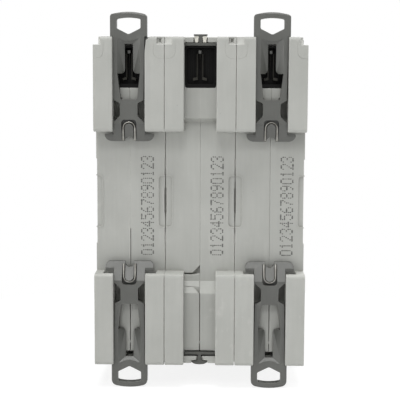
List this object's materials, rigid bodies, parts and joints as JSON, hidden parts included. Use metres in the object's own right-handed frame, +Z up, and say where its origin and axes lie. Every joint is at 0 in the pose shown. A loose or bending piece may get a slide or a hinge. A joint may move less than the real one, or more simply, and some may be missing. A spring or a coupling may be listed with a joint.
{
  "type": "din rail circuit breaker",
  "caption": "Modular breaker for a 35 mm rail: ganged poles in riveted half shells, sliding rail clips with pull loops above and below, tied toggles and cage terminals.",
  "frame": {"origin": "on the floor of the rail recess, at the seam of the middle pole, half way up the recess", "axes": "+X across the poles to pole 3, +Y back towards the rail, +Z up to the line side"},
  "size_m": [0.053, 0.0724, 0.0946],
  "materials": {
    "case": "light warm grey moulded thermoset, fine satin grain",
    "clip": "dark grey glass-filled nylon, soft sheen",
    "vent_black": "black moulded plastic",
    "toggle": "charcoal moulded plastic, satin",
    "steel": "bright drawn spring steel",
    "zinc_steel": "zinc-plated steel",
    "copper": "bare copper, lightly dulled",
    "bimetal": "rolled bimetal strip",
    "chute_plates": "copper-washed steel splitter plates"
  },
  "bodies": {
    "case": {"pole1_case_left": "case", "pole1_case_right": "case", "pole1_vent": "vent_black", "pole1_line_strap": "copper", "pole1_load_strap": "bimetal", "pole1_arc_chute": "chute_plates", "pole1_coil": "copper", "pole2_case_left": "case", "pole2_case_right": "case", "pole2_vent": "vent_black", "pole2_line_strap": "copper", "pole2_load_strap": "bimetal", "pole2_arc_chute": "chute_plates", "pole2_coil": "copper", "pole3_case_left": "case", "pole3_case_right": "case", "pole3_vent": "vent_black", "pole3_line_strap": "copper", "pole3_load_strap": "bimetal", "pole3_arc_chute": "chute_plates", "pole3_coil": "copper", "top_channel_key": "clip", "bottom_channel_key": "clip", "rivet_1": "steel", "rivet_2": "steel", "rivet_3": "steel", "rivet_4": "steel"},
    "toggles": {"pole1_toggle": "toggle", "pole2_toggle": "toggle", "pole3_toggle": "toggle", "toggle_tie_bar": "toggle"},
    "contact_arms": {"pole1_contact_arm": "copper", "pole2_contact_arm": "copper", "pole3_contact_arm": "copper"},
    "trip_bar": {"trip_bar": "vent_black"},
    "plunger_1": {"pole1_plunger": "steel"},
    "plunger_2": {"pole2_plunger": "steel"},
    "plunger_3": {"pole3_plunger": "steel"},
    "top_clip_1_body": {"top_clip_1": "clip", "top_clip_wire_1": "steel"},
    "bottom_clip_1_body": {"bottom_clip_1": "clip", "bottom_clip_wire_1": "steel"},
    "top_clip_3_body": {"top_clip_3": "clip", "top_clip_wire_3": "steel"},
    "bottom_clip_3_body": {"bottom_clip_3": "clip", "bottom_clip_wire_3": "steel"},
    "top_screw_1": {"pole1_top_screw": "zinc_steel"},
    "top_clamp_1": {"pole1_top_clamp": "zinc_steel"},
    "bottom_screw_1": {"pole1_bottom_screw": "zinc_steel"},
    "bottom_clamp_1": {"pole1_bottom_clamp": "zinc_steel"},
    "top_screw_2": {"pole2_top_screw": "zinc_steel"},
    "top_clamp_2": {"pole2_top_clamp": "zinc_steel"},
    "bottom_screw_2": {"pole2_bottom_screw": "zinc_steel"},
    "bottom_clamp_2": {"pole2_bottom_clamp": "zinc_steel"},
    "top_screw_3": {"pole3_top_screw": "zinc_steel"},
    "top_clamp_3": {"pole3_top_clamp": "zinc_steel"},
    "bottom_screw_3": {"pole3_bottom_screw": "zinc_steel"},
    "bottom_clamp_3": {"pole3_bottom_clamp": "zinc_steel"}
  },
  "joints": [
    {"name": "toggle_turn", "type": "hinge", "parent": "case", "child": "toggles", "pos_m": [0, -0.05, 0], "axis": [-1, 0, 0], "range_deg": [0, 70]},
    {"name": "contact_arms_turn", "type": "hinge", "parent": "case", "child": "contact_arms", "pos_m": [0, -0.033, -0.008], "axis": [1, 0, 0], "range_deg": [0, 16]},
    {"name": "trip_bar_turn", "type": "hinge", "parent": "case", "child": "trip_bar", "pos_m": [0, -0.04, -0.014], "axis": [-1, 0, 0], "range_deg": [0, 8], "stiffness_Nm_per_rad": 0.02, "springref_deg": -11.46},
    {"name": "plunger_slide_1", "type": "slide", "parent": "case", "child": "plunger_1", "axis": [0, 0, -1], "range_m": [0, 0.0025], "stiffness_N_per_m": 200, "springref_m": -0.003},
    {"name": "plunger_slide_2", "type": "slide", "parent": "case", "child": "plunger_2", "axis": [0, 0, -1], "range_m": [0, 0.0025], "stiffness_N_per_m": 200, "springref_m": -0.003},
    {"name": "plunger_slide_3", "type": "slide", "parent": "case", "child": "plunger_3", "axis": [0, 0, -1], "range_m": [0, 0.0025], "stiffness_N_per_m": 200, "springref_m": -0.003},
    {"name": "top_clip_slide_1", "type": "slide", "parent": "case", "child": "top_clip_1_body", "axis": [0, 0, 1], "range_m": [0, 0.003]},
    {"name": "bottom_clip_slide_1", "type": "slide", "parent": "case", "child": "bottom_clip_1_body", "axis": [0, 0, -1], "range_m": [0, 0.003]},
    {"name": "top_clip_slide_3", "type": "slide", "parent": "case", "child": "top_clip_3_body", "axis": [0, 0, 1], "range_m": [0, 0.003]},
    {"name": "bottom_clip_slide_3", "type": "slide", "parent": "case", "child": "bottom_clip_3_body", "axis": [0, 0, -1], "range_m": [0, 0.003]},
    {"name": "top_screw_turn_1", "type": "hinge", "parent": "case", "child": "top_screw_1", "pos_m": [-0.0177, -0.04, 0.0326], "axis": [0, 1, 0], "range_deg": [0, 2520]},
    {"name": "top_clamp_slide_1", "type": "slide", "parent": "case", "child": "top_clamp_1", "axis": [0, -1, 0], "range_m": [0, 0.0056]},
    {"name": "bottom_screw_turn_1", "type": "hinge", "parent": "case", "child": "bottom_screw_1", "pos_m": [-0.0177, -0.04, -0.0326], "axis": [0, 1, 0], "range_deg": [0, 2520]},
    {"name": "bottom_clamp_slide_1", "type": "slide", "parent": "case", "child": "bottom_clamp_1", "axis": [0, -1, 0], "range_m": [0, 0.0056]},
    {"name": "top_screw_turn_2", "type": "hinge", "parent": "case", "child": "top_screw_2", "pos_m": [0, -0.04, 0.0326], "axis": [0, 1, 0], "range_deg": [0, 2520]},
    {"name": "top_clamp_slide_2", "type": "slide", "parent": "case", "child": "top_clamp_2", "axis": [0, -1, 0], "range_m": [0, 0.0056]},
    {"name": "bottom_screw_turn_2", "type": "hinge", "parent": "case", "child": "bottom_screw_2", "pos_m": [0, -0.04, -0.0326], "axis": [0, 1, 0], "range_deg": [0, 2520]},
    {"name": "bottom_clamp_slide_2", "type": "slide", "parent": "case", "child": "bottom_clamp_2", "axis": [0, -1, 0], "range_m": [0, 0.0056]},
    {"name": "top_screw_turn_3", "type": "hinge", "parent": "case", "child": "top_screw_3", "pos_m": [0.0177, -0.04, 0.0326], "axis": [0, 1, 0], "range_deg": [0, 2520]},
    {"name": "top_clamp_slide_3", "type": "slide", "parent": "case", "child": "top_clamp_3", "axis": [0, -1, 0], "range_m": [0, 0.0056]},
    {"name": "bottom_screw_turn_3", "type": "hinge", "parent": "case", "child": "bottom_screw_3", "pos_m": [0.0177, -0.04, -0.0326], "axis": [0, 1, 0], "range_deg": [0, 2520]},
    {"name": "bottom_clamp_slide_3", "type": "slide", "parent": "case", "child": "bottom_clamp_3", "axis": [0, -1, 0], "range_m": [0, 0.0056]}
  ],
  "couplings": [
    {"joint": "contact_arms_turn", "follows": "toggle_turn", "ratio": 0.22857},
    {"joint": "top_screw_turn_1", "follows": "top_clamp_slide_1", "rad_per_m": 7853.9},
    {"joint": "bottom_screw_turn_1", "follows": "bottom_clamp_slide_1", "rad_per_m": 7853.9},
    {"joint": "top_screw_turn_2", "follows": "top_clamp_slide_2", "rad_per_m": 7853.9},
    {"joint": "bottom_screw_turn_2", "follows": "bottom_clamp_slide_2", "rad_per_m": 7853.9},
    {"joint": "top_screw_turn_3", "follows": "top_clamp_slide_3", "rad_per_m": 7853.9},
    {"joint": "bottom_screw_turn_3", "follows": "bottom_clamp_slide_3", "rad_per_m": 7853.9}
  ]
}
